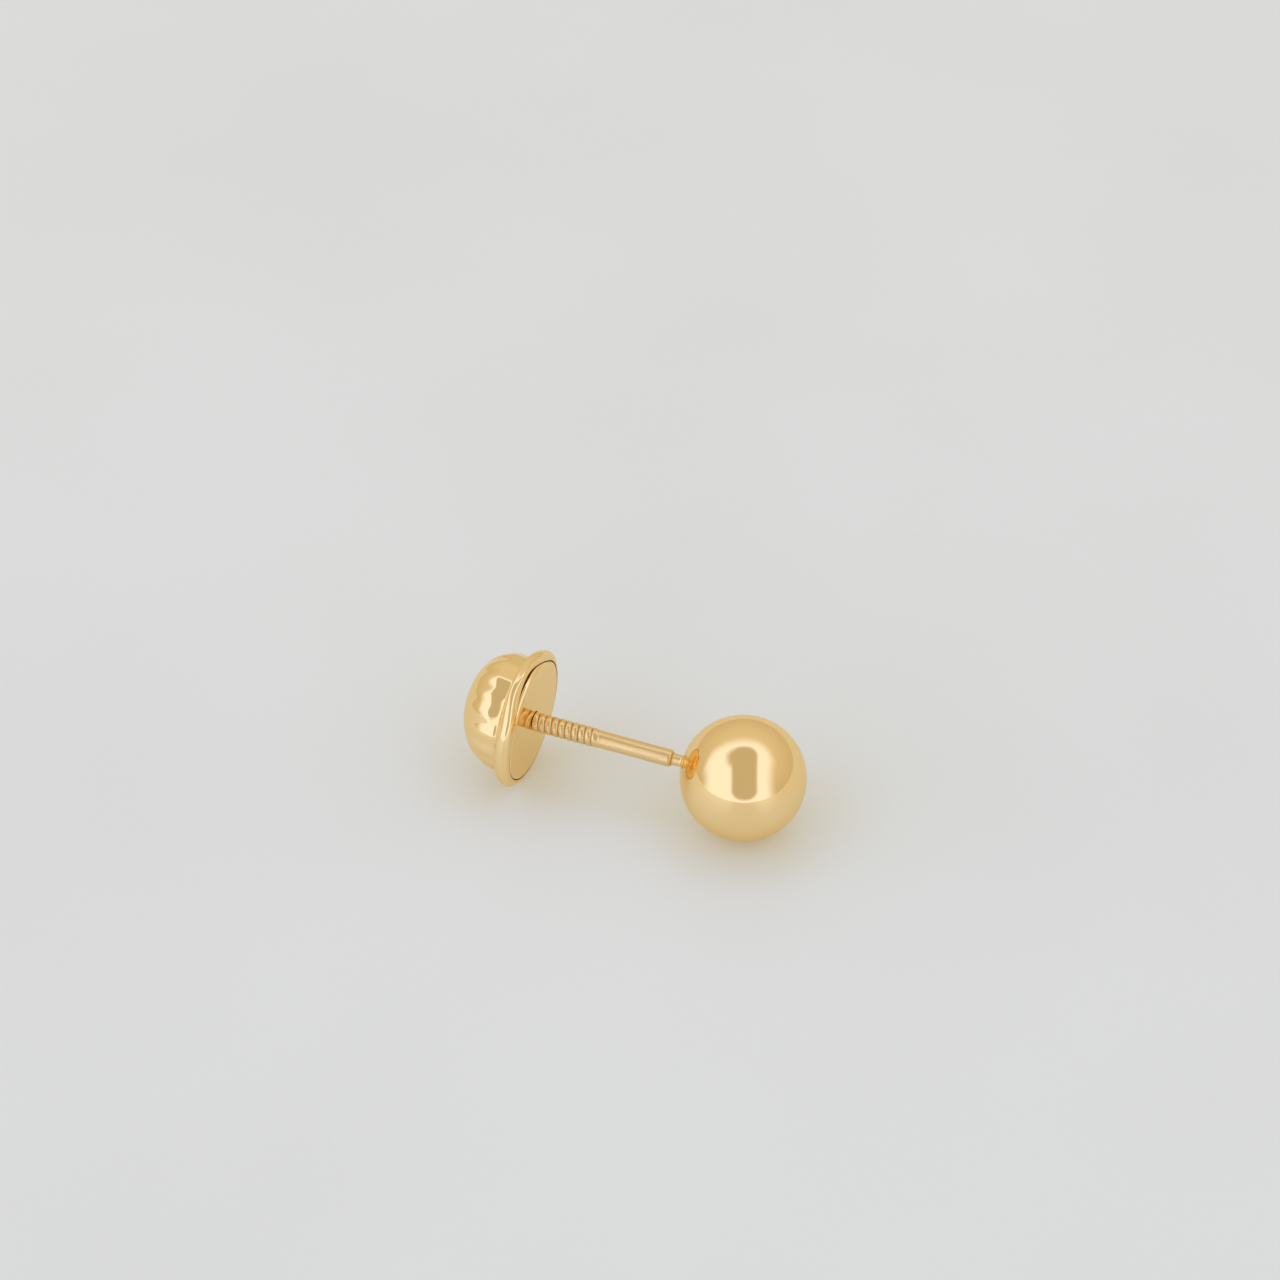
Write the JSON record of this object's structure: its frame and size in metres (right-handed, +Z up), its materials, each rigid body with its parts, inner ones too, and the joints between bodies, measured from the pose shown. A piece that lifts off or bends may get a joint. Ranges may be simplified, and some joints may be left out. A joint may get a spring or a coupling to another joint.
{
  "type": "ball stud earring",
  "caption": "Plain ball stud earring lying on a surface: ball on a threaded post, with a domed screw back that has a rolled rim and soft flats round its dome.",
  "frame": {"origin": "on the surface the earring lies on, under the middle of its bounding box", "axes": "+X runs along the post from the screw back to the ball, seen from above; +Z up. The post dips 2 degrees towards the ball, because the rim of the back is wider than the ball."},
  "size_m": [0.014, 0.0056, 0.0056],
  "materials": {
    "polished_gold": "polished",
    "plain_gold": "satin"
  },
  "bodies": {
    "stud": {"ball_post": "polished_gold"},
    "bush": {"back_bush": "plain_gold"},
    "back": {"back_cap": "polished_gold", "back_plate": "polished_gold"}
  },
  "joints": [
    {"name": "back_travel", "type": "slide", "parent": "stud", "child": "bush", "axis": [0.9994, 0, -0.0347], "range_m": [-0.00169, 0.00113]},
    {"name": "back_turn", "type": "hinge", "parent": "bush", "child": "back", "pos_m": [-0.00427, 0, 0.0028], "axis": [0.9994, 0, -0.0347], "range_deg": [-2160, 1440]}
  ]
}
